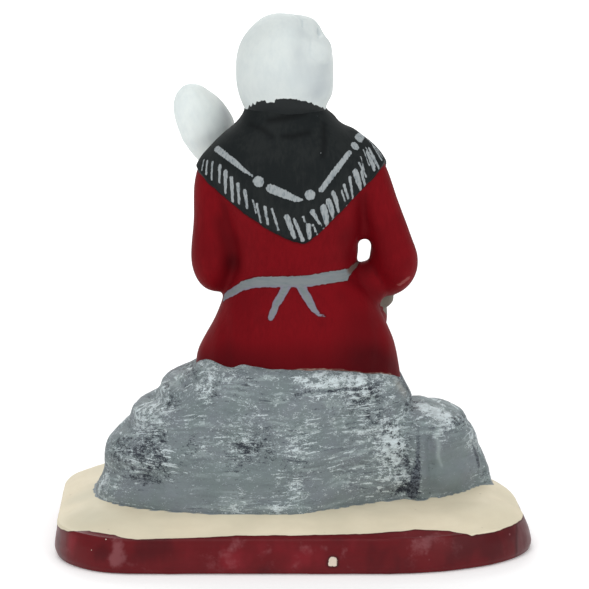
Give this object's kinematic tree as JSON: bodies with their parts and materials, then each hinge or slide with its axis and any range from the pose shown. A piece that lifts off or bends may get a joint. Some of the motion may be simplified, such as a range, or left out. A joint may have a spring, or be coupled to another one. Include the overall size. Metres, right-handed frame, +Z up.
{
  "type": "santon figurine",
  "caption": "Seated woman with a distaff, in bonnet, fringed shawl and long dress, on a rock with a low rounded base; moulded and hand-painted clay crib figure",
  "frame": {"origin": "centre of the bounding box at the base's underside, which stands on Z = 0", "axes": "+X to the figure's left, -Y the way the figure faces, +Z up"},
  "size_m": [0.0674, 0.0438, 0.075],
  "materials": {
    "painted_clay": "hand-painted fired clay, matt to satin, with a glossy edge to the base"
  },
  "bodies": {
    "root": {"santon": "painted_clay"}
  },
  "joints": []
}
